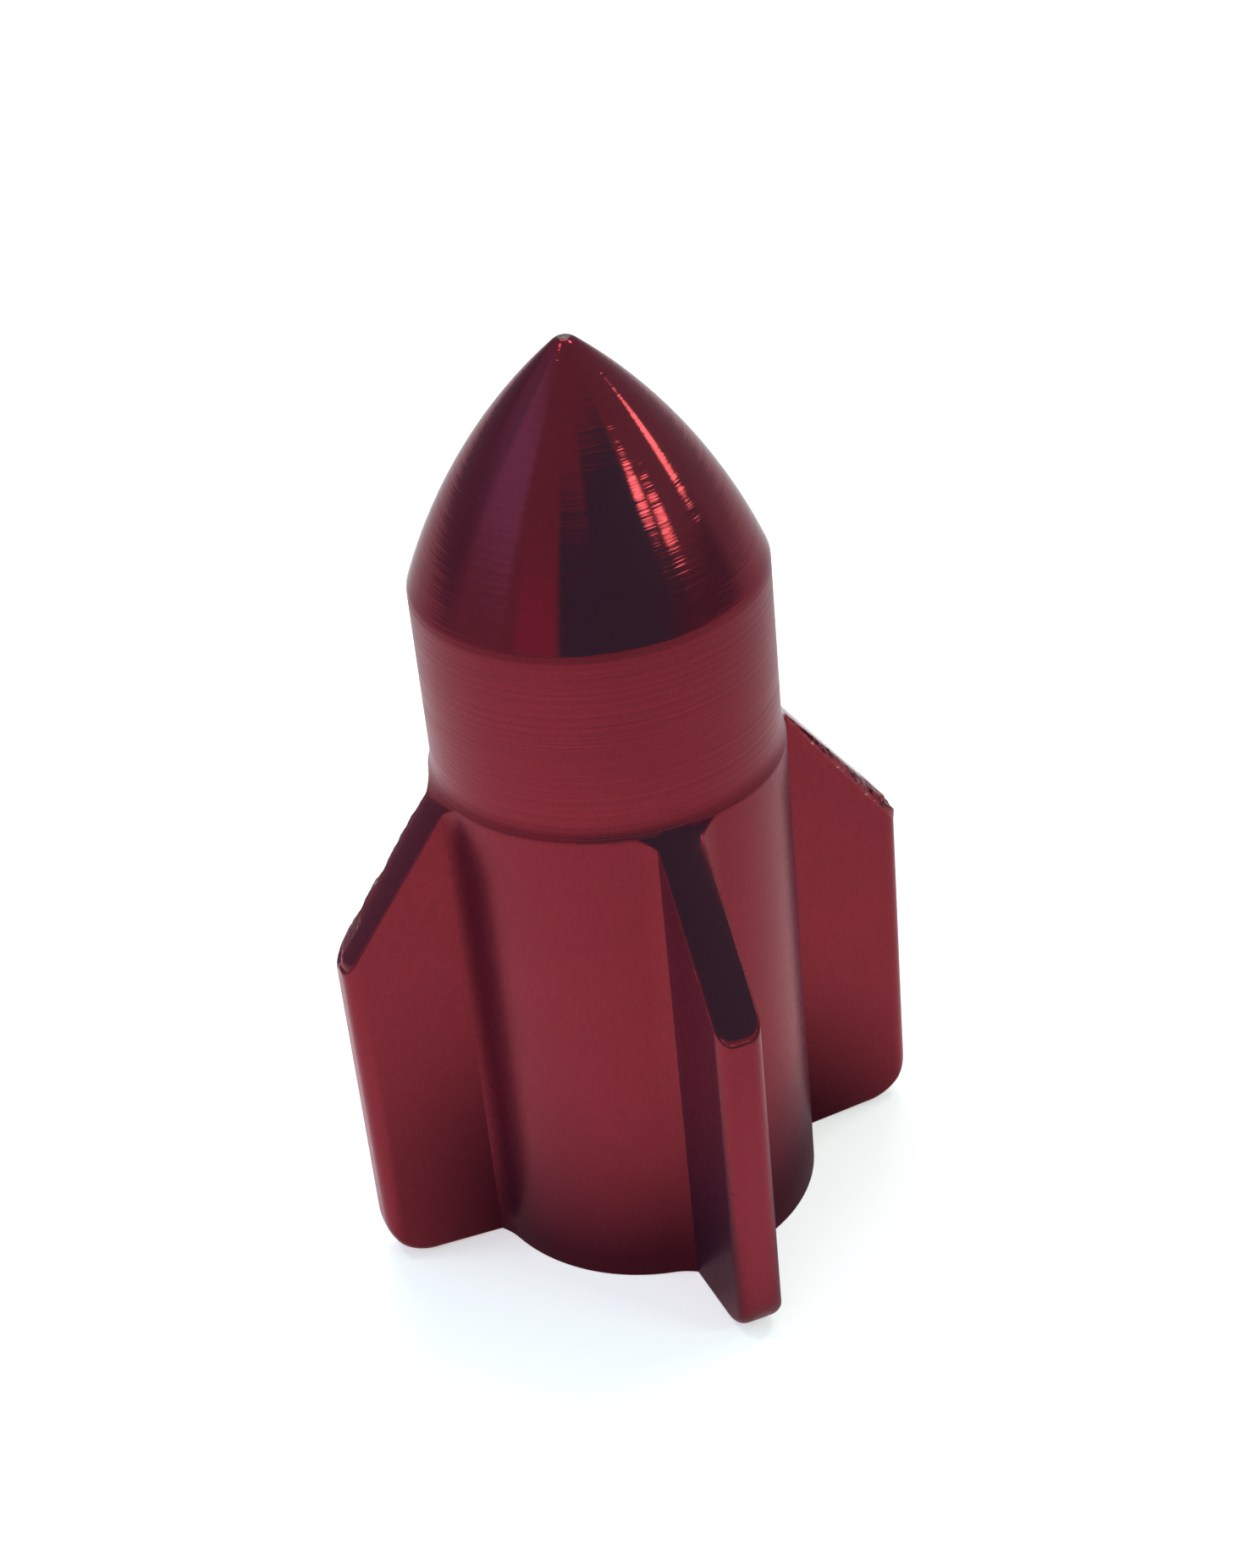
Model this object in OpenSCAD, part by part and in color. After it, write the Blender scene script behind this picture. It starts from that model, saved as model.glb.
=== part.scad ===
// Screw-on valve cap in the shape of a rocket.
// The shell is turned from a length of four-finned extruded bar, the threaded liner is
// pressed into its blind hole, and a rubber seal is trapped between the liner and the
// drill point. The origin is at the centre of the base, the nose points along +Z, and
// the fins lie on the X and Y axes. Millimetres.

/* [Rocket] */
// Height from the base to the tip of the nose
height = 31; // [30:0.5:33]
// Diameter of the turned collar under the nose
collar_d = 11; // [10.8:0.1:11.2]
// Length of the turned collar
collar_h = 5.7; // [5:0.1:6.5]
// Length of the nose
nose_h = 7.5; // [6.5:0.5:8.5]
// Radius of the arc that forms the side of the nose
nose_r = 18.5; // [16:0.5:24]
// Radius of the blunt tip
tip_r = 0.6; // [0.4:0.1:0.8]

/* [Finned bar] */
// Diameter of the bar between its fins
core_d = 11.25; // [11.25:0.05:11.6]
// Distance across two opposite fins
fin_span = 19.2; // [18:0.2:20]
// Thickness of a fin
fin_t = 1.5; // [1.2:0.1:2]
// Number of fins
fin_count = 4; // [3:1:6]
// Radius where a fin's side runs into the bar
fin_root_r = 0.8; // [0.5:0.1:1]
// Radius on the upright corners of a fin
fin_edge_r = 0.4; // [0.2:0.05:0.5]
// Radius on the outer bottom corner of a fin
fin_foot_r = 1.6; // [0.5:0.1:2]
// Angle between a fin's sloping top and the axis
fin_rake = 37.5; // [35:0.5:42]
// Radius that the turning tool leaves between the collar and the slope
tool_r = 1.5; // [0.8:0.1:1.6]

/* [Hole and thread] */
// Diameter of the hole that takes the liner
hole_d = 9.4; // [9.2:0.1:9.6]
// Depth of the hole, down to the start of the drill point
hole_h = 12.5; // [11:0.5:13]
// Included angle of the drill point
drill_angle = 118; // [90:1:140]
// Width of the chamfer at the mouth of the hole
mouth_chamfer = 0.3; // [0.1:0.1:0.4]
// Diameter of the liner's bore, at the bottom of its thread
thread_d = 7.8; // [7.7:0.05:7.9]
// How far the liner sits inside the base
liner_recess = 0.4; // [0.2:0.1:0.6]
// Width of the lead-in at the mouth of the liner
liner_lead = 0.3; // [0.1:0.1:0.4]

/* [Seal] */
// Thickness of the seal
seal_t = 1.2; // [1:0.1:1.5]
// Diameter of the seal
seal_d = 9.2; // [8.6:0.1:9.2]
// Diameter of the hole that clears the valve's pin
seal_hole_d = 3.2; // [2:0.1:4]

/* [Hidden] */

round_fn = 96;
small_fn = 48;
slack = 1;

core_r = core_d / 2;
collar_r = collar_d / 2;
fin_r = fin_span / 2;
nose_z = height - nose_h;
collar_z = nose_z - collar_h;

// Side of the nose: one arc that starts on the collar's top edge and ends tangent to the
// blunt tip, so its centre is nose_r from the edge and nose_r - tip_r from the tip's centre.
tip_z = height - tip_r;
chord = [-collar_r, tip_z - nose_z];
chord_l = norm(chord);
chord_x = (chord_l * chord_l + nose_r * nose_r - pow(nose_r - tip_r, 2)) / (2 * chord_l);
chord_y = sqrt(nose_r * nose_r - chord_x * chord_x);
nose_centre = [collar_r, nose_z] + (chord_x * chord - chord_y * [chord[1], -chord[0]]) / chord_l;
blend_z = nose_centre[1] + (tip_z - nose_centre[1]) * nose_r / (nose_r - tip_r);

// Turned slope: the tool radius starts on the collar, then the cone runs to the fin's edge.
cone_r = collar_r + tool_r * (1 - cos(fin_rake));
cone_z = collar_z - tool_r * sin(fin_rake);
slope_z = cone_z - (fin_r - cone_r) / tan(fin_rake);

// Root radius: its centre is clear of both the fin's side and the bar's surface.
root_y = fin_t / 2 + fin_root_r;
root_x = sqrt(pow(core_r + fin_root_r, 2) - root_y * root_y);

liner_h = hole_h - seal_t - liner_recess;

// One root radius: the corner between the bar and a fin's side, less the radius itself.
module root_section() {
    reach = core_r / (core_r + fin_root_r);
    difference() {
        polygon([[0, 0], [root_x, 0], [root_x, root_y], [root_x * reach, root_y * reach]]);
        translate([root_x, root_y])
            circle(r = fin_root_r, $fn = small_fn);
    }
}

// Section of the fin that lies along +X, with a root radius on each side.
module fin_section() {
    tip_x = fin_r - fin_edge_r;
    edge_y = fin_t / 2 - fin_edge_r;
    translate([0, -fin_t / 2])
        square([tip_x, fin_t]);
    translate([0, -edge_y])
        square([fin_r, 2 * edge_y]);
    for (side = [-1, 1])
        translate([tip_x, side * edge_y])
            circle(r = fin_edge_r, $fn = small_fn);
    root_section();
    mirror([0, 1])
        root_section();
}

// Section of the extruded bar.
module bar_section() {
    circle(r = core_r, $fn = round_fn);
    for (i = [0 : fin_count - 1])
        rotate(i * 360 / fin_count)
            fin_section();
}

// Half section of the nose: the long arc up to the blend, and the blunt tip, whose lower
// part lies inside the arc.
module nose_outline() {
    intersection() {
        translate(nose_centre)
            circle(r = nose_r, $fn = 4 * round_fn);
        translate([0, nose_z])
            square([collar_r, blend_z - nose_z]);
    }
    intersection() {
        translate([0, tip_z])
            circle(r = tip_r, $fn = small_fn);
        translate([0, tip_z])
            square([tip_r, tip_r]);
    }
}

// Half section of the turned slope, with the tool radius at the foot of the collar.
module slope_outline() {
    difference() {
        polygon([[0, slope_z], [fin_r, slope_z], [cone_r, cone_z],
                 [cone_r, collar_z], [0, collar_z]]);
        translate([collar_r + tool_r, collar_z])
            circle(r = tool_r, $fn = round_fn);
    }
}

// Half section of the fins below the slope, with the rounded bottom corner.
module foot_outline() {
    square([fin_r - fin_foot_r, slope_z]);
    translate([0, fin_foot_r])
        square([fin_r, slope_z - fin_foot_r]);
    translate([fin_r - fin_foot_r, fin_foot_r])
        circle(r = fin_foot_r, $fn = small_fn);
}

// Everything that the lathe leaves of a solid round bar.
module turned_shape() {
    rotate_extrude($fn = 2 * round_fn) {
        nose_outline();
        translate([0, collar_z])
            square([collar_r, collar_h]);
        slope_outline();
        foot_outline();
    }
}

// Blind hole for the liner, with its drill point and its chamfered mouth.
module liner_hole() {
    point_h = hole_d / 2 / tan(drill_angle / 2);
    translate([0, 0, -slack])
        cylinder(d = hole_d, h = hole_h + slack, $fn = round_fn);
    translate([0, 0, hole_h])
        cylinder(d1 = hole_d, d2 = 0, h = point_h, $fn = round_fn);
    cylinder(d1 = hole_d + 2 * mouth_chamfer, d2 = hole_d, h = mouth_chamfer, $fn = round_fn);
}

// Anodised aluminium shell: the finned bar, turned to shape and drilled.
module shell() {
    color("#8a1c2c")
    difference() {
        intersection() {
            linear_extrude(height = height)
                bar_section();
            turned_shape();
        }
        liner_hole();
    }
}

// Moulded nylon liner that carries the valve thread. Its bore is the thread's full width.
module thread_liner() {
    color("#1c1c1e")
    translate([0, 0, liner_recess])
        difference() {
            cylinder(d = hole_d, h = liner_h, $fn = round_fn);
            translate([0, 0, -slack])
                cylinder(d = thread_d, h = liner_h + 2 * slack, $fn = round_fn);
            cylinder(d1 = thread_d + 2 * liner_lead, d2 = thread_d, h = liner_lead, $fn = round_fn);
        }
}

// Rubber seal that the end of the valve presses on.
module seal() {
    color("#2b2b2b")
    translate([0, 0, liner_recess + liner_h])
        difference() {
            cylinder(d = seal_d, h = seal_t, $fn = round_fn);
            translate([0, 0, -slack])
                cylinder(d = seal_hole_d, h = seal_t + 2 * slack, $fn = round_fn);
        }
}

shell();
thread_liner();
seal();
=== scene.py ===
from math import asin, atan2, cos, pi, radians, sin, sqrt, tan

import bpy
from mathutils import Matrix, Vector, noise


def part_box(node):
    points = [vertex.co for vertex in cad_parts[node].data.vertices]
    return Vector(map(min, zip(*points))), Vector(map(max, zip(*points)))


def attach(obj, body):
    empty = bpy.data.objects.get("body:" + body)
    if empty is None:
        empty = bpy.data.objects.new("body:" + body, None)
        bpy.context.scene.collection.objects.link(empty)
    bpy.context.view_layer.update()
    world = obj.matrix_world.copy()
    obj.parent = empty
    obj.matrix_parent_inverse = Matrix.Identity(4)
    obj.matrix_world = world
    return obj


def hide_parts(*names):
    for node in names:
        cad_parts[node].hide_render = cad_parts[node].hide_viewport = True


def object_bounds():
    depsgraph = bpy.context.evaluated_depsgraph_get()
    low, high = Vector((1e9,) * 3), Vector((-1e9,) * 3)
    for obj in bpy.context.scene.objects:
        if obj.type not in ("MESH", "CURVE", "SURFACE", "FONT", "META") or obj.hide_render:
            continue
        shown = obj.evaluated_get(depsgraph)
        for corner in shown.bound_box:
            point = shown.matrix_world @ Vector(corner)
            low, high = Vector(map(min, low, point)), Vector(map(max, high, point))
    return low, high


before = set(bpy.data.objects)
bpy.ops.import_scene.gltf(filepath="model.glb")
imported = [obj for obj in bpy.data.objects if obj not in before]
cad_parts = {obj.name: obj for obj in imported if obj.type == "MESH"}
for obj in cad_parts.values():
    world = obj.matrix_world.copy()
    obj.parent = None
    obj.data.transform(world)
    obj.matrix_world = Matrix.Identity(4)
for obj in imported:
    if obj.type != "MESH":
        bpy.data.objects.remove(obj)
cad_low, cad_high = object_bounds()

# ---------------------------------------------------------------------------------------
# Camera: a phone held close, about nine centimetres from the cap, looking down on it and
# tilted a little to one side.
# ---------------------------------------------------------------------------------------
MM = 0.001
view_azimuth = radians(-19.12)
view_elevation = radians(32.8)
view_roll = radians(-5.84)
view_distance = 88.45 * MM
look_across = 0.545 * MM
look_height = 15.6 * MM

camera_data = bpy.data.cameras.new("camera")
camera_data.sensor_width = 36
camera_data.lens = 64.35
camera_data.clip_start = 5 * MM
camera_data.clip_end = 20
camera = bpy.data.objects.new("camera", camera_data)
scene = bpy.context.scene
scene.collection.objects.link(camera)
scene.camera = camera

across = Vector((cos(view_azimuth), sin(view_azimuth), 0))
forward = Vector((
    -sin(view_azimuth) * cos(view_elevation),
    cos(view_azimuth) * cos(view_elevation),
    -sin(view_elevation),
))
upward = across.cross(forward)
camera_right = cos(view_roll) * across + sin(view_roll) * upward
camera_up = cos(view_roll) * upward - sin(view_roll) * across
target = look_across * across + Vector((0, 0, look_height))
turn = Matrix((camera_right, camera_up, -forward)).transposed()
camera.matrix_world = Matrix.Translation(target - view_distance * forward) @ turn.to_4x4()


# ---------------------------------------------------------------------------------------
# Stage: a matte white table top, an even surround and a few soft lamps. The side that the
# cap is seen from is dark, as the person who holds the camera stands there.
# ---------------------------------------------------------------------------------------
def colour(hex_code, brightness=1.0):
    """An sRGB hex colour as the linear RGBA that the shaders take."""
    parts = [int(hex_code[i:i + 2], 16) / 255 for i in (1, 3, 5)]
    linear = [p / 12.92 if p <= 0.04045 else ((p + 0.055) / 1.055) ** 2.4 for p in parts]
    return [brightness * p for p in linear] + [1]


def add(tree, kind, settings={}, links={}):
    """Adds a node: settings are its properties or unlinked sockets, links feed its sockets."""
    made = tree.nodes.new(kind)
    for key, value in settings.items():
        if isinstance(key, int) or key in made.inputs:
            made.inputs[key].default_value = value
        else:
            setattr(made, key, value)
    for key, source in links.items():
        tree.links.new(source, made.inputs[key])
    return made


def new_material(name):
    """An empty node material and its tree."""
    made = bpy.data.materials.new(name)
    made.use_nodes = True
    made.node_tree.nodes.clear()
    return made, made.node_tree


def new_piece(name, vertices, faces, materials, face_materials=None):
    """A smooth-shaded mesh object from its points and faces, in the part's frame."""
    mesh = bpy.data.meshes.new(name)
    mesh.from_pydata(vertices, [], faces)
    for each in materials:
        mesh.materials.append(each)
    if face_materials:
        mesh.polygons.foreach_set("material_index", face_materials)
    mesh.polygons.foreach_set("use_smooth", [True] * len(faces))
    mesh.update()
    made = bpy.data.objects.new(name, mesh)
    scene.collection.objects.link(made)
    return made


def flat_sheet(name, half_width, material):
    """A level square sheet, laid centrally under the cap."""
    corners = [(-half_width, -half_width, 0), (half_width, -half_width, 0),
               (half_width, half_width, 0), (-half_width, half_width, 0)]
    return new_piece(name, corners, [(0, 1, 2, 3)], [material])


scene.view_settings.view_transform = "Standard"

# Light table: a matt white acrylic sheet, lit faintly from below, with a faint mottle of
# about 25 mm.
table_acrylic, tree = new_material("matt_white_acrylic")
place = add(tree, "ShaderNodeTexCoord")
mottle = add(tree, "ShaderNodeTexNoise", {"Scale": 1 / (25 * MM), "Detail": 3},
             {"Vector": place.outputs["Object"]})
tint = add(tree, "ShaderNodeMix", {"data_type": "RGBA", 6: colour("#EFEFEF"), 7: colour("#F4F4F4")},
           {0: mottle.outputs["Fac"]})
acrylic = add(tree, "ShaderNodeBsdfPrincipled",
              {"Roughness": 0.9, "Specular IOR Level": 0.2, "Emission Strength": 0.58,
               "Emission Color": colour("#F4E6E6")}, {"Base Color": tint.outputs[2]})
add(tree, "ShaderNodeOutputMaterial", {}, {"Surface": acrylic.outputs[0]})
table_half_width = 1500 * MM
table = flat_sheet("table_top", table_half_width, table_acrylic)
table.location.z = cad_low.z

# Painted shade seen in reflections: a graded dark sheet laid round the cap that only shows in the cap's
# own reflections, where it stands in for the table's shade round the cap.
# It is darkest under the cap and gets darker again towards its far edge, so the body fades towards the
# table and towards the nose.
# The dark is how much the sheet covers of the table under it.
shade_cover_half_width = 1400 * MM
shade_cover_lift = 0.03 * MM
near_centre = Vector((0.3, -1.0, 0)) * MM
near_from, near_to, near_dark = 6 * MM, 11.8 * MM, 0.8
far_centre = Vector((-12, -2, 0)) * MM
far_from, far_to, far_dark = 14 * MM, 66 * MM, 0.48
painted_shade_material, tree = new_material("painted_shade_sheet")
place = add(tree, "ShaderNodeTexCoord")
near_way = add(tree, "ShaderNodeVectorMath", {"operation": "DISTANCE", 1: near_centre},
               {0: place.outputs["Object"]})
far_way = add(tree, "ShaderNodeVectorMath", {"operation": "DISTANCE", 1: far_centre},
              {0: place.outputs["Object"]})
under = add(tree, "ShaderNodeMapRange",
            {"From Min": near_from, "From Max": near_to, "To Min": near_dark, "To Max": 0},
            {"Value": near_way.outputs["Value"]})
beyond = add(tree, "ShaderNodeMapRange",
             {"From Min": far_from, "From Max": far_to, "To Min": 0, "To Max": far_dark},
             {"Value": far_way.outputs["Value"]})
cover = add(tree, "ShaderNodeMath", {"operation": "ADD"}, {0: under.outputs[0], 1: beyond.outputs[0]})
clear = add(tree, "ShaderNodeBsdfTransparent")
black = add(tree, "ShaderNodeBsdfDiffuse", {"Color": colour("#101012")})
mixed = add(tree, "ShaderNodeMixShader", {},
            {0: cover.outputs[0], 1: clear.outputs[0], 2: black.outputs[0]})
add(tree, "ShaderNodeOutputMaterial", {}, {"Surface": mixed.outputs[0]})
shade_cover = flat_sheet("painted_shade_sheet", shade_cover_half_width, painted_shade_material)
shade_cover.location.z = cad_low.z + shade_cover_lift
shade_cover.visible_camera = False
shade_cover.visible_diffuse = False
shade_cover.visible_shadow = False
shade_cover.visible_transmission = False

# Surround: patches of light and shade on an even, slightly cool ceiling. Each has its
# azimuth (from -Y towards +X) and elevation, its half width and half height in degrees,
# the share of each that is soft edge, its brightness and its colour. A soft edge also
# spreads outwards, by a part of that share. What is seen directly, past the table, is a
# plain pale wall.
ceiling_brightness = 0.56
spread = 0.3
patches = [
    ("person", -10, 16, 32, 31, 0.09, 0.5, 0.6, "#80F0FF"),
    ("shoulder", 11, 24, 27, 32, 0.2, 0.3, 0.6, "#80F0FF"),
    ("sleeve", 34, 11, 16, 15, 0.5, 0.5, 0.5, "#90F0FF"),
    ("bench", 58, 4, 30, 12, 0.4, 0.5, 0.3, "#E0D8E6"),
    ("shelf", -144, 5, 35, 24, 0.4, 0.4, 0.36, "#E0E6FF"),
    ("window_side", -114, 33, 26, 18, 0.9, 0.9, 1.3, "#95D2FF"),
    ("window", -95, 35, 20, 22, 0.3, 0.8, 2.0, "#95D2FF"),
    ("side_wall", -56, 14, 14, 13, 0.35, 0.4, 0.66, "#FFDAFF"),
]
surround = bpy.data.worlds.new("surround")
scene.world = surround
surround.use_nodes = True
tree = surround.node_tree
tree.nodes.clear()
place = add(tree, "ShaderNodeTexCoord")
direction = add(tree, "ShaderNodeSeparateXYZ", {}, {0: place.outputs["Generated"]})
towards = add(tree, "ShaderNodeMath", {"operation": "MULTIPLY", 1: -1}, {0: direction.outputs[1]})
azimuth_of = add(tree, "ShaderNodeMath", {"operation": "ARCTAN2"},
                 {0: direction.outputs[0], 1: towards.outputs[0]})
elevation_of = add(tree, "ShaderNodeMath", {"operation": "ARCSINE"}, {0: direction.outputs[2]})
angles = add(tree, "ShaderNodeCombineXYZ", {}, {0: azimuth_of.outputs[0], 1: elevation_of.outputs[0]})
ceiling = add(tree, "ShaderNodeRGB")
ceiling.outputs[0].default_value = colour("#E7FFFF", ceiling_brightness)
light = ceiling.outputs[0]
for name, azimuth, elevation, wide, high, soft_side, soft_end, brightness, tone in patches:
    local = add(tree, "ShaderNodeMapping",
                {"name": name, "vector_type": "TEXTURE",
                 "Location": (radians(azimuth), radians(elevation), 0),
                 "Scale": (radians(wide), radians(high), 1)}, {"Vector": angles.outputs[0]})
    size = add(tree, "ShaderNodeVectorMath", {"operation": "ABSOLUTE"}, {0: local.outputs[0]})
    parts = add(tree, "ShaderNodeSeparateXYZ", {}, {0: size.outputs[0]})
    cover = None
    for axis, soft in enumerate((soft_side, soft_end)):
        edge = add(tree, "ShaderNodeMapRange",
                   {"From Min": 1 - soft, "From Max": 1 + spread * soft, "To Min": 1, "To Max": 0,
                    "interpolation_type": "SMOOTHSTEP"}, {"Value": parts.outputs[axis]})
        links = {0: edge.outputs[0]}
        if cover:
            links[1] = cover.outputs[0]
        cover = add(tree, "ShaderNodeMath", {"operation": "MULTIPLY", 1: 1.0}, links)
    light = add(tree, "ShaderNodeMix", {"data_type": "RGBA", 7: colour(tone, brightness)},
                {0: cover.outputs[0], 6: light}).outputs[2]
light_path = add(tree, "ShaderNodeLightPath")
seen = add(tree, "ShaderNodeMix", {"data_type": "RGBA", 7: colour("#FAFAFB")},
           {0: light_path.outputs["Is Camera Ray"], 6: light})
glow = add(tree, "ShaderNodeBackground", {"Strength": 1}, {"Color": seen.outputs[2]})
add(tree, "ShaderNodeOutputWorld", {}, {"Surface": glow.outputs[0]})


def facing(azimuth, elevation):
    """The direction at that azimuth, counted from -Y towards +X, and that elevation."""
    a, e = radians(azimuth), radians(elevation)
    return Vector((sin(a) * cos(e), -cos(a) * cos(e), sin(e)))


# Lamps: the direction and the size of each as the cap sees it in degrees, its lean, how
# bright its face is, and its colour. The three softboxes hang round the cap, behind it.
lamp_reach = 600 * MM
lamps = [
    ("lamp_high", 40, 35, 8, 9, 0, 15, "#C3FFE1"),
    ("lamp_low", 50, 26, 9, 5, 0, 18, "#C3FFE1"),
    ("lamp_side", 83, 26, 7, 17, -35, 12, "#C3FFE1"),
    ("softbox_left", -105, 70, 10, 10, 0, 16, "#FFFFFF"),
    ("softbox_right", 99, 62, 10, 10, 0, 16, "#FFFFFF"),
    ("softbox_back", 161, 62, 30, 24, 0, 4, "#FFFFFF"),
]
for name, azimuth, elevation, wide, high, lean, brightness, tone in lamps:
    data = bpy.data.lights.new(name, "AREA")
    data.shape = "ELLIPSE"
    data.size = 2 * lamp_reach * tan(radians(wide / 2))
    data.size_y = 2 * lamp_reach * tan(radians(high / 2))
    # The radiance of a lamp's face is power / (pi * area), and the area is an ellipse's.
    data.energy = brightness * pi * pi / 4 * data.size * data.size_y
    data.color = colour(tone)[:3]
    lamp = bpy.data.objects.new(name, data)
    scene.collection.objects.link(lamp)
    away = facing(azimuth, elevation)
    lamp.location = away * lamp_reach + Vector((0, 0, look_height))
    aim = away.to_track_quat("Z", "Y").to_matrix() @ Matrix.Rotation(radians(lean), 3, "Z")
    lamp.rotation_euler = aim.to_euler()
    lamp.visible_camera = False


# ---------------------------------------------------------------------------------------
# Shell: one piece of four-finned extruded aluminium bar. The nose and collar are turned on
# a lathe, one cone cuts all four fins, and a blind hole is drilled from the base. It is
# dyed red when it is anodised.
# ---------------------------------------------------------------------------------------
shell_low, shell_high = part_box("shell")
height = shell_high.z - shell_low.z
fin_r = shell_high.x
collar_r = 5.5 * MM
core_r = 5.625 * MM
nose_z = height - 7.5 * MM
collar_z = nose_z - 5.7 * MM
nose_arc_r = 18.5 * MM
tip_r = 0.6 * MM
fin_half = 0.75 * MM
fin_root_r = 2 * MM
fin_root_crease = radians(52)
fin_edge_r = 0.5 * MM
fin_foot_r = 1.6 * MM
fin_rake = radians(37.5)
tool_r = 1.5 * MM
hole_r = 4.7 * MM
hole_h = 12.5 * MM
mouth_chamfer = 0.3 * MM
drill_half_angle = radians(59)
# How wide its edges are broken: all of them, more on a torn edge, more at the fins' ends,
# and along the bottoms of the fins. Nowhere on top is it more than the widest.
edge_break = 0.06 * MM
torn_break = 0.22 * MM
end_wear = 0.04 * MM
foot_break = 0.35 * MM
widest_break = 0.42 * MM

# Side of the nose: an arc that starts on the collar and is tangent to the blunt tip.
tip_z = height - tip_r
chord = Vector((-collar_r, tip_z - nose_z))
along = (chord.length_squared + nose_arc_r ** 2 - (nose_arc_r - tip_r) ** 2) / (2 * chord.length)
aside = sqrt(nose_arc_r ** 2 - along ** 2)
arc_centre = (Vector((collar_r, nose_z)) + along * chord.normalized()
              - aside * Vector((chord.y, -chord.x)).normalized())
nose_start = asin((nose_z - arc_centre.y) / nose_arc_r)
nose_end = atan2(tip_z - arc_centre.y, -arc_centre.x)

# Turned slope: the tool's radius at the collar, then the cone down to the fins' edges.
cone_r = collar_r + tool_r * (1 - cos(fin_rake))
cone_z = collar_z - tool_r * sin(fin_rake)


def slope_z(r):
    """Height of the turned slope at a radius."""
    if r < cone_r:
        return collar_z - sqrt(max(tool_r ** 2 - (tool_r - r + collar_r) ** 2, 0))
    return cone_z - (r - cone_r) / tan(fin_rake)


def foot_z(r):
    """Height of the base at a radius: flat, then rounded up at the fins' outer corners."""
    past = min(max(r - fin_r + fin_foot_r, 0), fin_foot_r)
    return fin_foot_r - sqrt(fin_foot_r ** 2 - past ** 2)


# Section of the bar: half of a fin and an eighth of the body. The root's arc runs smoothly
# into the body but meets the fin's side at a crease. Each point has its outward normal, how
# ragged the cutter leaves its top edge, and whether the plain rings have it. The raggedness
# fades out over the last sixth of the fin's side.
root_y = fin_half + fin_root_r * cos(fin_root_crease)
root_x = sqrt((core_r + fin_root_r) ** 2 - root_y ** 2)
root_turn = atan2(root_y, root_x)
tip_face_steps, edge_steps, side_steps, root_steps, body_steps = 3, 6, 56, 12, 12
tip_ragged = 0.4
ragged_fade = 6
half_fin = []
for i in range(tip_face_steps):
    y = (fin_half - fin_edge_r) * i / tip_face_steps
    half_fin.append((Vector((fin_r, y)), Vector((1, 0)), tip_ragged, i == 0))
for i in range(edge_steps + 1):
    a = pi / 2 * i / edge_steps
    out = Vector((cos(a), sin(a)))
    middle = Vector((fin_r - fin_edge_r, fin_half - fin_edge_r))
    half_fin.append((middle + fin_edge_r * out, out, 1, i == edge_steps // 2))
side_from, side_to = fin_r - fin_edge_r, root_x - fin_root_r * sin(fin_root_crease)
for i in range(1, side_steps):
    x = side_from + (side_to - side_from) * i / side_steps
    ragged = min(1, ragged_fade * (1 - i / side_steps))
    half_fin.append((Vector((x, fin_half)), Vector((0, 1)), ragged, i == side_steps // 2))
for i in range(root_steps + 1):
    a = fin_root_crease + (pi / 2 - root_turn - fin_root_crease) * i / root_steps
    out = Vector((sin(a), cos(a)))
    half_fin.append((Vector((root_x, root_y)) - fin_root_r * out, out, 0, i % 4 == 0))
for i in range(1, body_steps + 1):
    a = root_turn + (pi / 4 - root_turn) * i / body_steps
    out = Vector((cos(a), sin(a)))
    half_fin.append((core_r * out, out, 0, True))

# The cutter leaves each fin on its clockwise side and tears it there, and it tore some fins
# more than others: +X, +Y, -X and -Y in turn. Where it enters, it tears a quarter as much.
torn_fins = (2.0, 0.8, 0.7, 0.12)
entry_side = 0.25
section = []
for quarter, torn in enumerate(torn_fins):
    spin = Matrix.Rotation(quarter * pi / 2, 2)
    entry = torn * entry_side
    section += [(spin @ p, spin @ n, entry * ragged, kept) for p, n, ragged, kept in half_fin]
    back = Matrix.Rotation((quarter + 1) * pi / 2, 2) @ Matrix(((1, 0), (0, -1)))
    torn = torn_fins[(quarter + 1) % 4]
    far = [(back @ p, back @ n, torn * ragged, kept) for p, n, ragged, kept in half_fin]
    section += far[-2:0:-1]
every = list(range(len(section)))
plain = [i for i in every if section[i][3]]

vertices, faces, finishes = [], [], []
BRIGHT, SATIN, SLOPE, EXTRUDED, CHIPPED, FACED, BARE = range(7)


def ring(points):
    """Adds a ring of points to the mesh and returns their numbers."""
    first = len(vertices)
    vertices.extend(points)
    return list(range(first, len(vertices)))


def join(upper, upper_columns, lower, lower_columns, finish):
    """Faces between two rings. One of them may have only some of the other one's columns.
    The finish is one for all, or a list with one for each column."""
    total = max(len(upper), len(lower))
    if len(upper) == len(lower):
        for i in range(total):
            j = (i + 1) % total
            faces.append((upper[i], lower[i], lower[j], upper[j]))
            finishes.append(finish[i] if isinstance(finish, list) else finish)
        return
    flip = len(upper) > len(lower)
    few, few_columns, many = (lower, lower_columns, upper) if flip else (upper, upper_columns, lower)
    for i, start in enumerate(few_columns):
        stop = few_columns[(i + 1) % len(few_columns)]
        run = [many[c % total] for c in range(start, stop + 1 if stop > start else stop + total + 1)]
        face = [few[i]] + run + [few[(i + 1) % len(few_columns)]]
        faces.append(tuple(reversed(face)) if flip else tuple(face))
        finishes.append(finish)


def cap_end(columns, z, finish, upwards):
    """Closes a ring with a point on the axis."""
    pole = ring([(0, 0, z)])[0]
    for i in range(len(columns)):
        j = (i + 1) % len(columns)
        faces.append((pole, columns[i], columns[j]) if upwards else (columns[j], columns[i], pole))
        finishes.append(finish)


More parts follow.
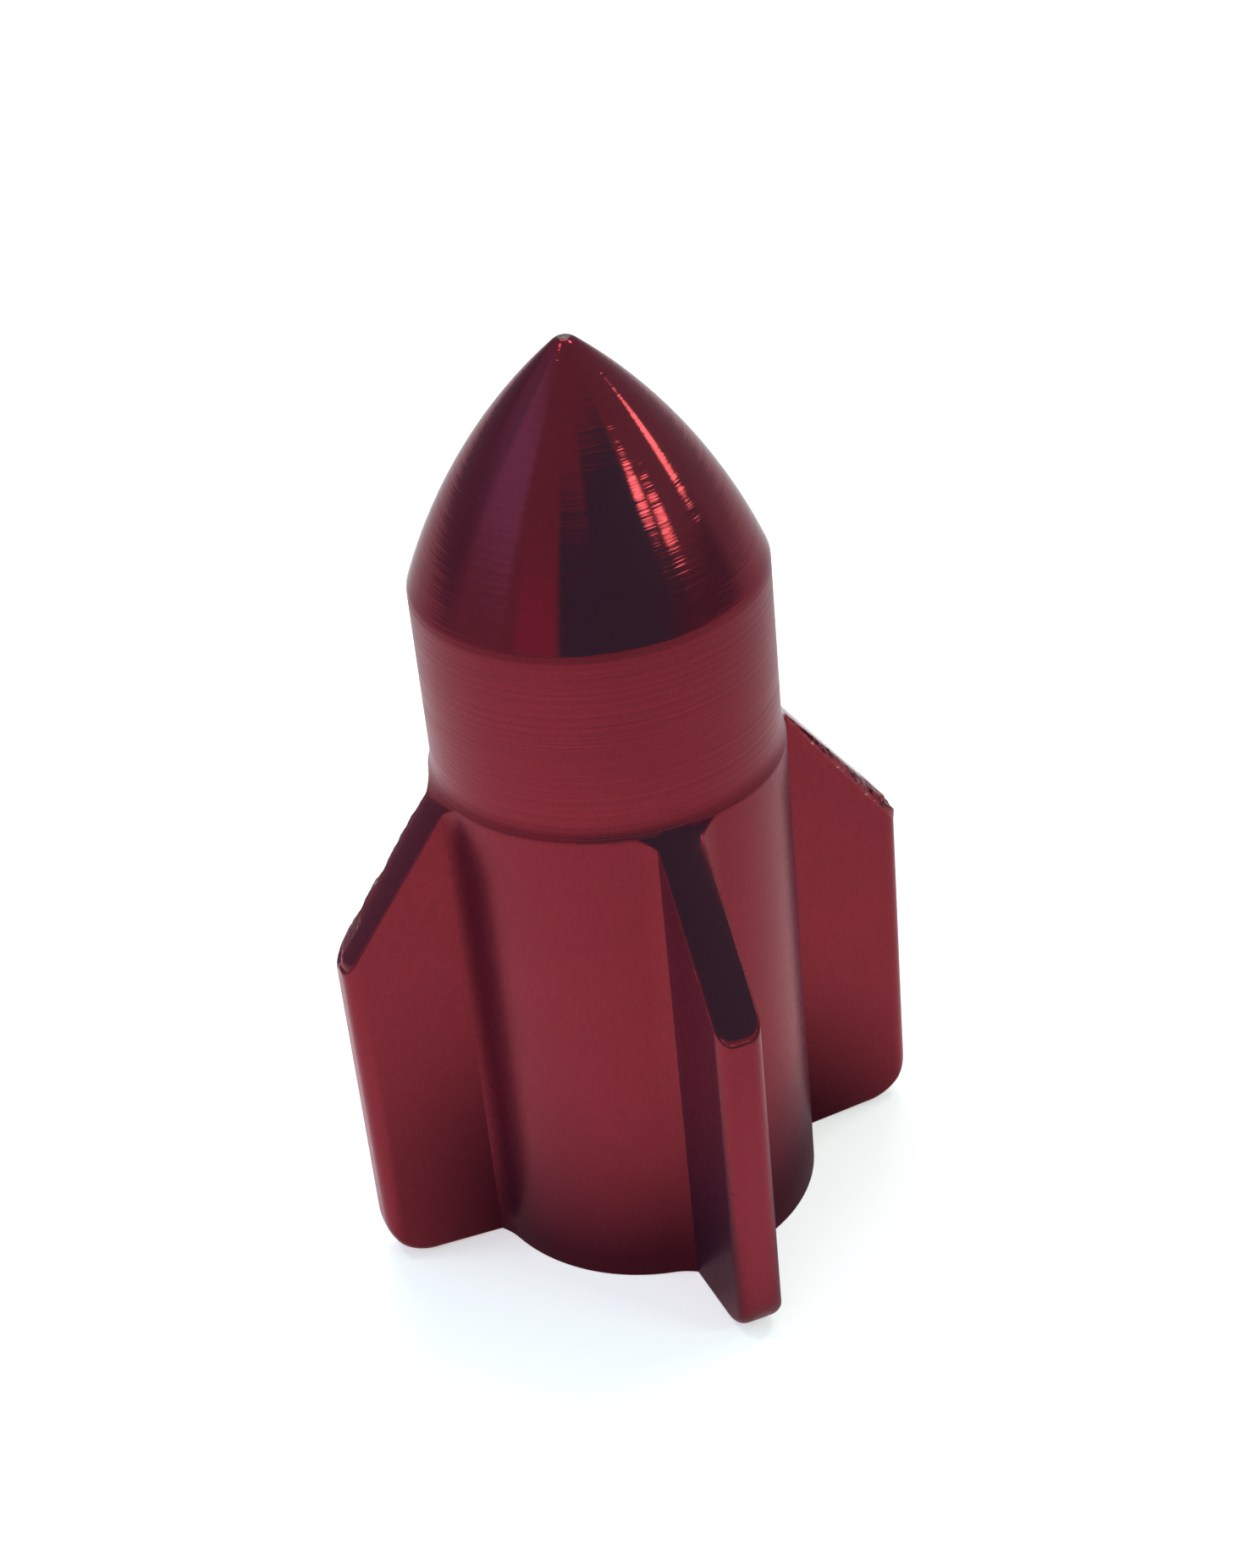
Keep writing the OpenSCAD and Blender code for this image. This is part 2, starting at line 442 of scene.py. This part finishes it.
# How wide the top edge is broken: hardly at all round the body, wider on a torn edge, and
# rounded off at the fin's very end.
wear_power = 8
top_break = []
for p, n, ragged, kept in section:
    outward = max(0, (p.length - core_r) / (fin_r - core_r))
    plain_break = edge_break if ragged else edge_break / 4
    wide = plain_break + torn_break * ragged * outward + end_wear * outward ** wear_power
    top_break.append(min(wide, widest_break))
inset = [p - wide * n for wide, (p, n, ragged, kept) in zip(top_break, section)]
heading = [p.normalized() for p in inset]

# Tip, nose and collar, on the plain columns. The tip has the small rough stub that is left
# where the part was cut off the bar: a pip, a dip round it and the stub's rim.
stub_r, pip_r, pip_h = 0.19 * MM, 0.07 * MM, 0.02 * MM
dip_r, rim_r = 1.6 * pip_r, 0.9 * stub_r
tip_steps, nose_steps, collar_steps = 7, 56, 16
tip_edge = asin(stub_r / tip_r)
tip_stop = pi / 2 - nose_end
stub_z = tip_z + tip_r * cos(tip_edge)
profile = [(pip_r, stub_z + 0.6 * pip_h, BARE), (dip_r, stub_z - 0.4 * pip_h, BARE),
           (rim_r, stub_z - 0.2 * pip_h, BARE)]
for i in range(tip_steps):
    a = tip_edge + (tip_stop - tip_edge) * i / tip_steps
    profile.append((tip_r * sin(a), tip_z + tip_r * cos(a), BRIGHT if i else BARE))
for i in range(nose_steps + 1):
    a = nose_end + (nose_start - nose_end) * i / nose_steps
    profile.append((arc_centre.x + nose_arc_r * cos(a), arc_centre.y + nose_arc_r * sin(a), BRIGHT))
for i in range(1, collar_steps):
    profile.append((collar_r, nose_z + (collar_z - nose_z) * i / collar_steps, SATIN))

last = None
for r, z, finish in profile:
    now = ring([(heading[i].x * r, heading[i].y * r, z) for i in plain])
    if last is None:
        cap_end(now, stub_z + pip_h, BARE, True)
    else:
        join(last, plain, now, plain, finish)
    last = now
now = ring([(h.x * collar_r, h.y * collar_r, collar_z) for h in heading])
join(last, plain, now, every, SATIN)
last = now


# Burr on the torn edges: lumps of about 0.4 mm, heavier and lighter over about 1.4 mm, with
# nicks about 0.5 mm apart. The origins choose which part of each pattern falls on the fins.
burr_height = 0.11 * MM
lumps_per_mm, stretches_per_mm, nicks_per_mm = 2.6, 0.7, 1.9
stretch_origin, nick_origin = Vector((4, 9, 2)), Vector((1, 5, 7))
lump_roughness, lump_step, lump_octaves = 0.7, 2.0, 4
layer_shift = 0.5
mean_burr, burr_swing = 0.45, 0.9
nick_from, nick_depth = 0.28, 1.5


def burr(p, ragged, layer):
    """How far the cutter has pushed metal over a fin's sloping edge there, in metres; less
    than nothing where it has torn a nick out of it."""
    spot = Vector((p.x, p.y, 0)) / MM
    above = Vector((0, 0, layer_shift * layer))
    lump = noise.fractal(lumps_per_mm * spot + above, lump_roughness, lump_step, lump_octaves)
    stretch = max(0, mean_burr + burr_swing * noise.noise(stretches_per_mm * spot + stretch_origin))
    nick = max(0, noise.noise(nicks_per_mm * spot + nick_origin) - nick_from)
    return ragged * burr_height * (stretch * (mean_burr + lump) - nick_depth * nick)


# Turned slope, out to the broken edge, where it is chipped along a torn side. The collar's
# satin finish runs on into the tool's radius. The rings crowd at that radius and at the edge.
slope_steps = 20
edge_shares = [0.95, 0.985, 1]
slope_shares = [(j / slope_steps) ** 2 for j in range(1, slope_steps)] + edge_shares
chipped_share, chipped_slope = 0.9, 0.3
slope_burr = 0.4
for share in slope_shares:
    points, kinds = [], []
    for i in every:
        r = collar_r + (inset[i].length - collar_r) * share
        z = slope_z(r)
        if share == 1:
            z += slope_burr * burr(inset[i], section[i][2], 0)
        points.append((heading[i].x * r, heading[i].y * r, z))
        if section[i][2] > chipped_slope and share > chipped_share:
            kinds.append(CHIPPED)
        else:
            kinds.append(SATIN if r < core_r else SLOPE)
    now = ring(points)
    join(last, every, now, every, kinds)
    last = now

# Broken edge between the slope and the drawn sides, with the cutter's burr on it. The burr
# is highest halfway round the edge, and stands up a little less than it stands out.
break_steps = 6
chipped_edge = 0.18
least_burr = 0.35
burr_rise = 0.7
edge_kinds = []
for p, n, ragged, kept in section:
    if ragged > chipped_edge:
        edge_kinds.append(CHIPPED)
    else:
        edge_kinds.append(EXTRUDED if ragged else SATIN)
for j in range(1, break_steps + 1):
    a = pi / 2 * j / break_steps
    points = []
    for wide, (p, n, ragged, kept) in zip(top_break, section):
        lift = burr(p, ragged, j) * (least_burr + (1 - least_burr) * sin(2 * a))
        at = p + (lift - wide * (1 - sin(a))) * n
        points.append((at.x, at.y, slope_z(p.length) - wide * (1 - cos(a)) + burr_rise * lift))
    now = ring(points)
    join(last, every, now, every, edge_kinds)
    last = now

# Drawn sides, down to the broken edge at the base, which is well rounded along the sides
# of the fins' bottoms. The burr ends just under the slope.
wall_steps = 18
burr_end = 0.12 * MM
low_break = []
for p, n, ragged, kept in section:
    along_side = sqrt(abs(n.cross(p.normalized())))
    outward = min(1, max(0, (p.length - core_r) / (fin_r - fin_foot_r - core_r)))
    low_break.append(edge_break + (foot_break - edge_break) * along_side * outward)
low_z = [foot_z(p.length) + wide for wide, (p, n, ragged, kept) in zip(low_break, section)]
top_z = [slope_z(p.length) - wide - burr_end for wide, (p, n, ragged, kept) in zip(top_break, section)]
for j in range(wall_steps + 1):
    points = []
    for high, low, (p, n, ragged, kept) in zip(top_z, low_z, section):
        points.append((p.x, p.y, high + (low - high) * j / wall_steps))
    now = ring(points)
    join(last, every, now, every, EXTRUDED if j else edge_kinds)
    last = now
for j in range(1, break_steps + 1):
    a = pi / 2 * (1 - j / break_steps)
    points = []
    for wide, (p, n, ragged, kept) in zip(low_break, section):
        at = p - wide * (1 - sin(a)) * n
        points.append((at.x, at.y, foot_z(at.length) + wide * (1 - cos(a))))
    now = ring(points)
    join(last, every, now, every, EXTRUDED)
    last = now

# Faced base, in to the mouth of the hole. The rings crowd at the outside, where the fins'
# bottom corners curve.
base_steps = 18
base_crowding = 1.3
mouth_r = hole_r + mouth_chamfer
flat_r = fin_r - fin_foot_r
base_edge = [p - wide * n for wide, (p, n, ragged, kept) in zip(low_break, section)]
for j in range(1, base_steps):
    points = []
    for i in every:
        start = base_edge[i].length
        arc = asin(min(max((start - flat_r) / fin_foot_r, 0), 1))
        total = fin_foot_r * arc + min(start, flat_r) - mouth_r
        gone = total * (j / base_steps) ** base_crowding
        if gone < fin_foot_r * arc:
            a = arc - gone / fin_foot_r
            r, z = flat_r + fin_foot_r * sin(a), fin_foot_r * (1 - cos(a))
        else:
            r, z = mouth_r + total - gone, 0
        at = base_edge[i].normalized() * r
        points.append((at.x, at.y, z))
    now = ring(points)
    join(last, every, now, every, FACED)
    last = now

# Hole: chamfered mouth, straight wall and drill point.
hole_steps = 8
drill_h = hole_r / tan(drill_half_angle)
hole = [(mouth_r, 0)]
for i in range(hole_steps + 1):
    hole.append((hole_r, mouth_chamfer + (hole_h - mouth_chamfer) * i / hole_steps))
for i in range(1, hole_steps):
    hole.append((hole_r * (1 - i / hole_steps), hole_h + drill_h * i / hole_steps))
last_columns = every
for r, z in hole:
    now = ring([(heading[i].x * r, heading[i].y * r, z) for i in plain])
    join(last, last_columns, now, plain, FACED)
    last, last_columns = now, plain
cap_end(last, hole_h + drill_h, FACED, False)


def anodised(name, base, roughness, marks_mm, depth, coat, haze, groove_shade=0.0, chips=0.0, pits=0.0):
    """Red anodised aluminium. The dyed oxide gives the metal's reflections their red, and
    the clear sealed skin on it gives a faint grey haze and pale glints on steep edges. The
    marks are those of the tool or the die: their size along each axis in millimetres, how
    deep they are, and how much painted shade of their grooves shows in the colour. Coat is how much the
    skin shows and haze is its roughness; chips is how much bare metal shows, and pits is how deep
    the few small handling dents are. The faint violet sheen is light scattered in the oxide."""
    made, tree = new_material(name)
    place = add(tree, "ShaderNodeTexCoord")
    per_metre = [1 / (size * MM) for size in marks_mm]
    stretch = add(tree, "ShaderNodeMapping", {"Scale": per_metre}, {"Vector": place.outputs["Object"]})
    marks = add(tree, "ShaderNodeTexNoise", {"Scale": 1, "Detail": 4, "Roughness": 0.62},
                {"Vector": stretch.outputs[0]})
    # Grain of the etched skin: about 0.02 mm, drawn at 0.1 mm so that it shows.
    grain = add(tree, "ShaderNodeTexNoise", {"Scale": 1 / (0.1 * MM), "Detail": 2},
                {"Vector": place.outputs["Object"]})
    # Uneven take-up of the dye, over about 3 mm.
    uptake = add(tree, "ShaderNodeTexNoise", {"Scale": 1 / (3 * MM), "Detail": 3},
                 {"Vector": place.outputs["Object"]})
    # The noise lies mostly between these two, which are stretched over each range.
    usual = {"From Min": 0.3, "From Max": 0.7}
    speckle = add(tree, "ShaderNodeMapRange", {**usual, "To Min": 0.93, "To Max": 1.07},
                  {"Value": grain.outputs["Fac"]})
    shift = add(tree, "ShaderNodeMapRange", {**usual, "To Min": 0.96, "To Max": 1.04},
                {"Value": uptake.outputs["Fac"]})
    both = add(tree, "ShaderNodeMath", {"operation": "MULTIPLY"},
               {0: speckle.outputs[0], 1: shift.outputs[0]})
    # Painted shade: the colour darkens and lightens along the tool marks, standing in for the shade in
    # their grooves.
    if groove_shade:
        painted_groove_shade = add(tree, "ShaderNodeMapRange", {**usual, "To Min": 1 - groove_shade, "To Max": 1 + groove_shade},
                    {"Value": marks.outputs["Fac"]})
        both = add(tree, "ShaderNodeMath", {"operation": "MULTIPLY"},
                   {0: both.outputs[0], 1: painted_groove_shade.outputs[0]})
    dye = add(tree, "ShaderNodeMix",
              {"data_type": "RGBA", "blend_type": "MULTIPLY", 0: 1.0, 6: colour(base)},
              {7: both.outputs[0]})
    skin = dye.outputs[2]
    if chips:
        # Bare spots of a few tenths of a millimetre.
        worn = add(tree, "ShaderNodeTexNoise", {"Scale": 1 / (0.35 * MM), "Detail": 4, "Roughness": 0.7},
                   {"Vector": place.outputs["Object"]})
        bare_at = add(tree, "ShaderNodeMapRange",
                      {"From Min": 0.58, "From Max": 0.68, "To Min": 0, "To Max": chips},
                      {"Value": worn.outputs["Fac"]})
        skin = add(tree, "ShaderNodeMix", {"data_type": "RGBA", 7: colour("#D89AA0")},
                   {0: bare_at.outputs[0], 6: skin}).outputs[2]
    gloss = add(tree, "ShaderNodeMapRange",
                {**usual, "To Min": roughness * 0.85, "To Max": roughness * 1.15},
                {"Value": marks.outputs["Fac"]})
    bump = add(tree, "ShaderNodeBump", {"Strength": 1, "Distance": depth},
               {"Height": marks.outputs["Fac"]})
    if pits:
        # Dents up to 0.2 mm across, some 3.5 mm apart.
        cells = add(tree, "ShaderNodeTexVoronoi", {"Scale": 1 / (3.5 * MM)},
                    {"Vector": place.outputs["Object"]})
        dent = add(tree, "ShaderNodeMapRange",
                   {"From Min": 0.01, "From Max": 0.03, "To Min": 0, "To Max": 1,
                    "interpolation_type": "SMOOTHSTEP"}, {"Value": cells.outputs["Distance"]})
        bump = add(tree, "ShaderNodeBump", {"Strength": 1, "Distance": pits},
                   {"Height": dent.outputs[0], "Normal": bump.outputs[0]})
    metal = add(tree, "ShaderNodeBsdfPrincipled",
                {"Metallic": 1, "Specular Tint": colour("#FAE4E4"),
                 "Coat Weight": coat, "Coat Roughness": haze, "Coat IOR": 1.6,
                 "Sheen Weight": 0.035, "Sheen Roughness": 0.9, "Sheen Tint": colour("#8C80D8")},
                {"Base Color": skin, "Roughness": gloss.outputs[0], "Normal": bump.outputs[0]})
    add(tree, "ShaderNodeOutputMaterial", {}, {"Surface": metal.outputs[0]})
    return made


# Fine turning with a sharp tool: a near mirror with uneven rings about 0.18 mm apart, which
# break the reflections of lamps into beads.
red = "#791D24"
bright = anodised("anodised_bright_turned", red, roughness=0.07, marks_mm=(11.1, 11.1, 0.18182),
                  depth=0.015 * MM, coat=0.08, haze=0.45)
# Coarser turning on the collar: satin, with rings about 0.13 mm apart, and the shade in their grooves
# painted faintly into the colour.
satin = anodised("anodised_satin_turned", red, roughness=0.34, marks_mm=(16.7, 16.7, 0.125),
                 depth=0.016 * MM, coat=0.12, haze=0.3, groove_shade=0.1)
# One quick cut for the fins' slopes: bright and a little mottled, with no rings.
slope = anodised("anodised_cut_slope", red, roughness=0.1, marks_mm=(0.4, 0.4, 0.4),
                 depth=0.0015 * MM, coat=0.08, haze=0.45)
# Extruded and etched: matte, with faint short lines drawn along the bar.
extruded = anodised("anodised_extruded", "#761D24", roughness=0.3, marks_mm=(0.143, 0.143, 0.4),
                    depth=0.0004 * MM, coat=0.12, haze=0.35, pits=0.02 * MM)
# Torn edge of an interrupted cut: rough, and bare metal shows where it is knocked.
chipped = anodised("anodised_chipped_edge", red, roughness=0.3, marks_mm=(0.2, 0.2, 0.2),
                   depth=0.02 * MM, coat=0.3, haze=0.3, chips=0.7)
# Faced and drilled surfaces: satin, with shallow marks from the tool.
faced = anodised("anodised_faced_base", red, roughness=0.25, marks_mm=(0.4, 0.4, 0.4),
                 depth=0.002 * MM, coat=0.2, haze=0.3)

# Bare, dull aluminium where the part was cut off the bar after it was turned.
bare, tree = new_material("bare_aluminium_cut_off")
place = add(tree, "ShaderNodeTexCoord")
torn = add(tree, "ShaderNodeTexNoise", {"Scale": 1 / (0.08 * MM), "Detail": 4, "Roughness": 0.7},
           {"Vector": place.outputs["Object"]})
grey = add(tree, "ShaderNodeMix", {"data_type": "RGBA", 6: colour("#5C4A48"), 7: colour("#8E807C")},
           {0: torn.outputs["Fac"]})
bump = add(tree, "ShaderNodeBump", {"Strength": 1, "Distance": 0.01 * MM},
           {"Height": torn.outputs["Fac"]})
metal = add(tree, "ShaderNodeBsdfPrincipled", {"Metallic": 1, "Roughness": 0.5},
            {"Base Color": grey.outputs[2], "Normal": bump.outputs[0]})
add(tree, "ShaderNodeOutputMaterial", {}, {"Surface": metal.outputs[0]})

# The shell, with its materials in the order of the finishes. Folds steeper than the crease
# angle stay sharp, and the rest is shaded smooth.
crease_angle = radians(40)
shell = new_piece("rocket_shell", vertices, faces,
                  [bright, satin, slope, extruded, chipped, faced, bare], finishes)
shell.data.set_sharp_from_angle(angle=crease_angle)
even_normals = shell.modifiers.new("even_normals", "WEIGHTED_NORMAL")
even_normals.keep_sharp = True
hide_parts("shell")
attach(shell, "root")


# ---------------------------------------------------------------------------------------
# Thread liner: a moulded black nylon sleeve, pressed into the shell's hole from the base.
# Its bore carries the valve's thread, 32 turns to the inch, with a lead-in at the mouth.
# ---------------------------------------------------------------------------------------
liner_low, liner_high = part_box("thread_liner")
liner_r = liner_high.x
thread_pitch = 25.4 * MM / 32
thread_r = 3.9 * MM
thread_depth = 0.45 * MM
thread_flat = 0.15
lead_in = 0.3 * MM
liner_round = 0.08 * MM
round_steps = 3
rows_per_turn = 14


def thread_at(turned, z):
    """Radius of the bore at a share of a turn and a height: a right-hand thread with flats on
    its crests and in its roots, which runs in and out at the ends."""
    phase = (z / thread_pitch - turned) % 1
    ridge = min(max((abs(2 * phase - 1) - thread_flat) / (1 - 2 * thread_flat), 0), 1)
    run_in = (z - liner_low.z - lead_in) / thread_pitch
    run_out = (liner_high.z - z) / thread_pitch
    mouth = max(0, liner_low.z + lead_in - z)
    return thread_r + mouth - thread_depth * ridge * min(max(min(run_in, run_out), 0), 1)


columns = 120
all_round = list(range(columns))
spokes = [(cos(2 * pi * i / columns), sin(2 * pi * i / columns)) for i in all_round]


def circle(r, z):
    """A ring of points of one radius for the mesh."""
    return ring([(r * c, r * s, z) for c, s in spokes])


def rounded_edge(r, z, radius, start, steps):
    """Rings over a quarter of a round edge. The radius and height are those of the centre of
    its arc, and the arc runs clockwise from the start, seen with the axis on the left."""
    turns = [start - pi / 2 * i / steps for i in range(steps + 1)]
    return [circle(r + radius * cos(a), z + radius * sin(a)) for a in turns]


def close_loop(rows):
    """Faces between each ring and the next, and from the last back to the first."""
    for i, row in enumerate(rows):
        join(row, all_round, rows[(i + 1) % len(rows)], all_round, 0)


# The sleeve: round its top edge, down its outside, round its bottom edge and up its thread.
vertices, faces, finishes = [], [], []
arc_r = liner_r - liner_round
rows = rounded_edge(arc_r, liner_high.z - liner_round, liner_round, pi / 2, round_steps)
rows += rounded_edge(arc_r, liner_low.z + liner_round, liner_round, 0, round_steps)
thread_rows = round(rows_per_turn * (liner_high.z - liner_low.z) / thread_pitch)
for j in range(thread_rows + 1):
    z = liner_low.z + (liner_high.z - liner_low.z) * j / thread_rows
    points = []
    for i, (c, s) in enumerate(spokes):
        r = thread_at(i / columns, z)
        points.append((r * c, r * s, z))
    rows.append(ring(points))
close_loop(rows)

# Moulded nylon: the spark-eroded mould gives it a fine even grain and a soft, low sheen,
# and the threads are a little polished where the valve rubs them.
nylon, tree = new_material("moulded_black_nylon")
place = add(tree, "ShaderNodeTexCoord")
grain = add(tree, "ShaderNodeTexNoise", {"Scale": 1 / (0.12 * MM), "Detail": 3},
            {"Vector": place.outputs["Object"]})
cloud = add(tree, "ShaderNodeTexNoise", {"Scale": 1 / (2.5 * MM), "Detail": 4},
            {"Vector": place.outputs["Object"]})
tone = add(tree, "ShaderNodeMix", {"data_type": "RGBA", 6: colour("#161618"), 7: colour("#2A2A2C")},
           {0: cloud.outputs["Fac"]})
rubbed = add(tree, "ShaderNodeMapRange",
             {"From Min": 0.35, "From Max": 0.65, "To Min": 0.34, "To Max": 0.52},
             {"Value": cloud.outputs["Fac"]})
bump = add(tree, "ShaderNodeBump", {"Strength": 1, "Distance": 0.006 * MM},
           {"Height": grain.outputs["Fac"]})
plastic = add(tree, "ShaderNodeBsdfPrincipled", {"IOR": 1.53},
              {"Base Color": tone.outputs[2], "Roughness": rubbed.outputs[0],
               "Normal": bump.outputs[0]})
add(tree, "ShaderNodeOutputMaterial", {}, {"Surface": plastic.outputs[0]})

liner = new_piece("nylon_thread_liner", vertices, faces, [nylon])
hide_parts("thread_liner")
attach(liner, "root")


# ---------------------------------------------------------------------------------------
# Seal: a black rubber washer at the blind end of the hole, held there by the liner. The
# end of the valve has pressed a shallow ring into it, and the hole clears the valve's pin.
# ---------------------------------------------------------------------------------------
seal_low, seal_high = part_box("seal")
seal_r = seal_high.x
seal_hole_r = 1.6 * MM
seal_round = 0.12 * MM
press_r, press_half, press_depth = 2.9 * MM, 0.45 * MM, 0.09 * MM
corner_steps, press_steps = 4, 16
inner_arc_r, outer_arc_r = seal_hole_r + seal_round, seal_r - seal_round
low_arc_z, high_arc_z = seal_low.z + seal_round, seal_high.z - seal_round

# The washer: down its outside, in across the pressed ring and up its hole.
vertices, faces, finishes = [], [], []
rows = rounded_edge(outer_arc_r, high_arc_z, seal_round, pi / 2, corner_steps)
rows += rounded_edge(outer_arc_r, low_arc_z, seal_round, 0, corner_steps)
for i in range(press_steps + 1):
    r = press_r + press_half * (1 - 2 * i / press_steps)
    dent = 0.5 - 0.5 * cos(2 * pi * i / press_steps)
    rows.append(circle(r, seal_low.z + press_depth * dent))
rows += rounded_edge(inner_arc_r, low_arc_z, seal_round, -pi / 2, corner_steps)
rows += rounded_edge(inner_arc_r, high_arc_z, seal_round, pi, corner_steps)
close_loop(rows)

# Moulded rubber: matte black with a pale bloom of talc in patches.
rubber, tree = new_material("moulded_black_rubber")
place = add(tree, "ShaderNodeTexCoord")
grain = add(tree, "ShaderNodeTexNoise", {"Scale": 1 / (0.15 * MM), "Detail": 4},
            {"Vector": place.outputs["Object"]})
bloom = add(tree, "ShaderNodeTexNoise", {"Scale": 1 / (1.2 * MM), "Detail": 4},
            {"Vector": place.outputs["Object"]})
dusty = add(tree, "ShaderNodeMapRange",
            {"From Min": 0.5, "From Max": 0.75, "To Min": 0, "To Max": 0.5},
            {"Value": bloom.outputs["Fac"]})
tone = add(tree, "ShaderNodeMix", {"data_type": "RGBA", 6: colour("#101011"), 7: colour("#4A4A48")},
           {0: dusty.outputs[0]})
bump = add(tree, "ShaderNodeBump", {"Strength": 1, "Distance": 0.012 * MM},
           {"Height": grain.outputs["Fac"]})
gum = add(tree, "ShaderNodeBsdfPrincipled", {"Roughness": 0.78, "IOR": 1.5},
          {"Base Color": tone.outputs[2], "Normal": bump.outputs[0]})
add(tree, "ShaderNodeOutputMaterial", {}, {"Surface": gum.outputs[0]})

seal = new_piece("rubber_seal", vertices, faces, [rubber])
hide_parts("seal")
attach(seal, "root")
